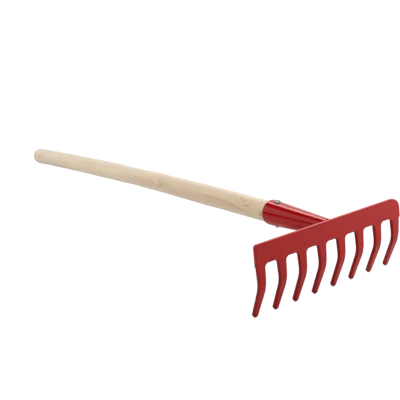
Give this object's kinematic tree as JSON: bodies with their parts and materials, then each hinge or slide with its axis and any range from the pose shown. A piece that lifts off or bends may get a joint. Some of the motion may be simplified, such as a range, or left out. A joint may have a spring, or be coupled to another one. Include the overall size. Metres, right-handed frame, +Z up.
{
  "type": "garden rake",
  "caption": "Small garden rake: flat steel head with tines bent back, tapered socket welded to its back, and a bowed round wooden handle held by a rivet.",
  "frame": {"origin": "centre of the base of the rake's box, on the floor that its tine tips and the far end of its handle rest on", "axes": "+X across the head, +Y along the handle from the head to its far end, +Z up"},
  "size_m": [0.1878, 0.7138, 0.0789],
  "materials": {
    "head_paint": "gloss red paint over pressed steel",
    "socket_paint": "gloss red paint over rolled steel sheet",
    "weld_paint": "gloss red paint over a rippled weld",
    "handle_wood": "smooth sanded pale wood, unvarnished",
    "rivet_steel": "bright zinc-plated steel"
  },
  "bodies": {
    "root": {"rake_head": "head_paint", "socket": "socket_paint", "weld_bead": "weld_paint", "handle": "handle_wood", "rivet": "rivet_steel"}
  },
  "joints": []
}
